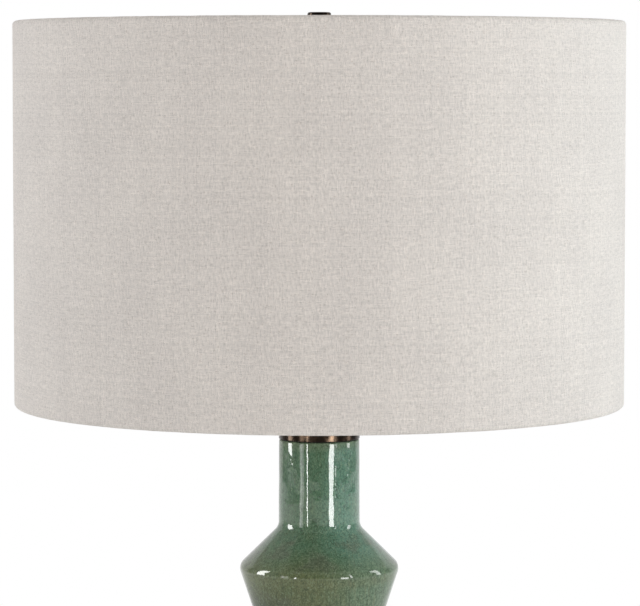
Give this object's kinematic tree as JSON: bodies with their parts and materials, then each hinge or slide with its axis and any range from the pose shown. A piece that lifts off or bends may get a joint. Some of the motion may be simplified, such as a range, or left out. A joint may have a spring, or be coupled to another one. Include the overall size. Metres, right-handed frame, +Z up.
{
  "type": "table lamp",
  "caption": "Table lamp with a glazed body in angular tiers, a drum shade in linen held on a harp by a finial, and a rotary lamp holder.",
  "frame": {"origin": "on the table under the centre of the felt pad, on the axis of the centre rod", "axes": "+Z up along the centre rod, -Y to the front, where the switch knob is and where the picture looks from, +Y to the back, where the lead comes out, +X to the right"},
  "size_m": [0.4063, 0.4064, 0.6394],
  "materials": {
    "linen": "natural oatmeal linen weave, matt, with slubs",
    "styrene": "white translucent sheet, matt",
    "frame_wire": "antique bronze plate, satin",
    "bronze": "dark antique bronze, semi-gloss, edges rubbed lighter",
    "harp_wire": "antique bronze plate, satin",
    "antique_brass": "antique brass, satin",
    "glaze": "glossy teal to olive green crackle glaze",
    "pan_metal": "dark antique bronze on spun steel, satin",
    "iron": "rough casting, black",
    "felt": "dark brown felt",
    "zinc": "bright zinc plate",
    "rubber": "black moulded rubber, matt",
    "phenolic": "black moulded insulation",
    "liner_card": "brown fibre sleeve",
    "knob_plastic": "dark brown moulded knob, semi-gloss",
    "contact_brass": "bright brass",
    "lamp_metal": "bright rolled metal",
    "vitrite": "black glass insulator",
    "frosted_glass": "white frosted glass",
    "clear_glass": "clear glass",
    "tungsten": "dull grey wire"
  },
  "bodies": {
    "base": {"felt_pad": "felt", "base_pan": "pan_metal", "base_weight": "iron", "cord_grommet": "rubber", "bottom_washer": "zinc", "bottom_nut": "zinc", "center_rod": "zinc", "centering_disc": "zinc", "ceramic_body": "glaze", "neck_gasket": "rubber", "neck_cap": "bronze", "check_ring": "bronze", "spacer_tube": "bronze", "harp_saddle": "harp_wire", "saddle_nut": "antique_brass", "socket_cap": "antique_brass", "cap_set_screw": "zinc", "socket_body": "phenolic", "socket_terminals": "contact_brass", "socket_screw_shell": "contact_brass", "socket_contact": "contact_brass", "socket_insulator": "liner_card", "socket_shell": "antique_brass"},
    "switch": {"switch_stem": "contact_brass", "switch_knob": "knob_plastic"},
    "bulb": {"bulb_tip": "contact_brass", "bulb_base_insulator": "vitrite", "bulb_base": "lamp_metal", "bulb_glass": "frosted_glass", "bulb_stem": "clear_glass", "bulb_supports": "tungsten", "bulb_filament": "tungsten"},
    "harp": {"harp_loop": "harp_wire"},
    "ferrule_left": {"harp_ferrule_left": "harp_wire"},
    "ferrule_right": {"harp_ferrule_right": "harp_wire"},
    "swivel": {"harp_stud": "antique_brass"},
    "shade": {"shade_fabric": "linen", "shade_liner": "styrene", "shade_top_ring": "frame_wire", "shade_bottom_ring": "frame_wire", "spider_arms": "frame_wire", "spider_hub": "frame_wire"},
    "finial": {"finial": "bronze"}
  },
  "joints": [
    {"name": "switch_turn", "type": "hinge", "parent": "base", "child": "switch", "pos_m": [0, -0.024, 0.41], "axis": [0, -1, 0], "continuous": true},
    {"name": "bulb_turn", "type": "hinge", "parent": "base", "child": "bulb", "pos_m": [0, 0, 0.43], "axis": [0, 0, 1], "continuous": true},
    {"name": "harp_lift", "type": "slide", "parent": "base", "child": "harp", "axis": [0, 0, 1], "range_m": [0, 0.03]},
    {"name": "ferrule_left_slide", "type": "slide", "parent": "harp", "child": "ferrule_left", "axis": [0, 0, 1], "range_m": [0, 0.016]},
    {"name": "ferrule_right_slide", "type": "slide", "parent": "harp", "child": "ferrule_right", "axis": [0, 0, 1], "range_m": [0, 0.016]},
    {"name": "harp_swivel", "type": "hinge", "parent": "harp", "child": "swivel", "pos_m": [0, 0, 0.616], "axis": [0, 0, 1], "continuous": true},
    {"name": "shade_lift", "type": "slide", "parent": "swivel", "child": "shade", "axis": [0, 0, 1], "range_m": [0, 0.26]},
    {"name": "finial_turn", "type": "hinge", "parent": "shade", "child": "finial", "pos_m": [0, 0, 0.625], "axis": [0, 0, 1], "continuous": true}
  ]
}
